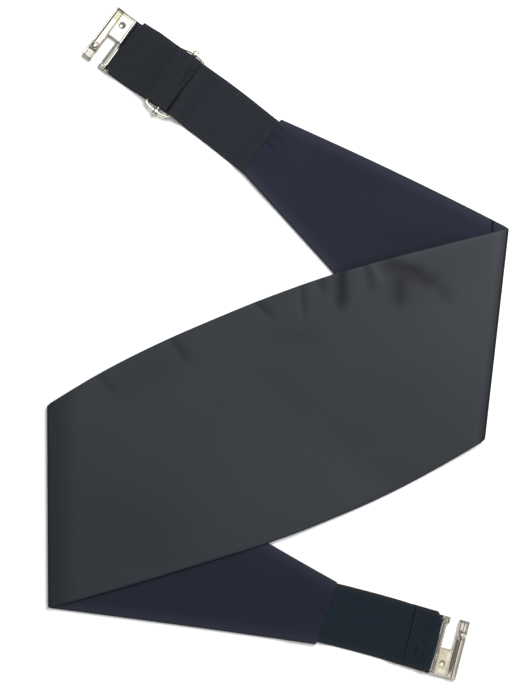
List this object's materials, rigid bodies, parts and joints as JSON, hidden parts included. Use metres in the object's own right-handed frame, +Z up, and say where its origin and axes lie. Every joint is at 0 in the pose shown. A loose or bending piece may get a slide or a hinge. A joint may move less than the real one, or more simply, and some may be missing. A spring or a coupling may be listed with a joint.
{
  "type": "cummerbund",
  "caption": "Dark satin cummerbund lying flat with its wings folded under the front, with elastic back straps, a wire slider and stamped metal hooks.",
  "frame": {"origin": "middle of the part's box, on the surface that the garment lies on", "axes": "+Z up, away from that surface; +Y from the lower strap's hook towards the upper strap's hook, along the longest side of the part's box; +X along the front from its left fold to its right one"},
  "size_m": [0.2772, 0.4038, 0.0063],
  "materials": {
    "satin": "charcoal satin with a soft sheen",
    "lining": "matt twill lining",
    "elastic": "ribbed woven elastic",
    "nickel": "warm nickel plate, lightly worn"
  },
  "bodies": {
    "garment": {"satin_front": "satin", "lining_back": "lining", "upper_strap": "elastic", "lower_strap": "elastic", "slider_ring": "nickel", "slider_bar": "nickel"},
    "upper_hook": {"upper_hook": "nickel"},
    "lower_hook": {"lower_hook": "nickel"}
  },
  "joints": [
    {"name": "upper_hook_swing", "type": "hinge", "parent": "garment", "child": "upper_hook", "pos_m": [-0.0925, 0.17686, 0.0019], "axis": [0.6018, 0.7986, 0], "range_deg": [0, 90]},
    {"name": "lower_hook_swing", "type": "hinge", "parent": "garment", "child": "lower_hook", "pos_m": [0.0933, -0.18014, 0.0019], "axis": [-0.2487, -0.9686, 0], "range_deg": [0, 90]}
  ]
}
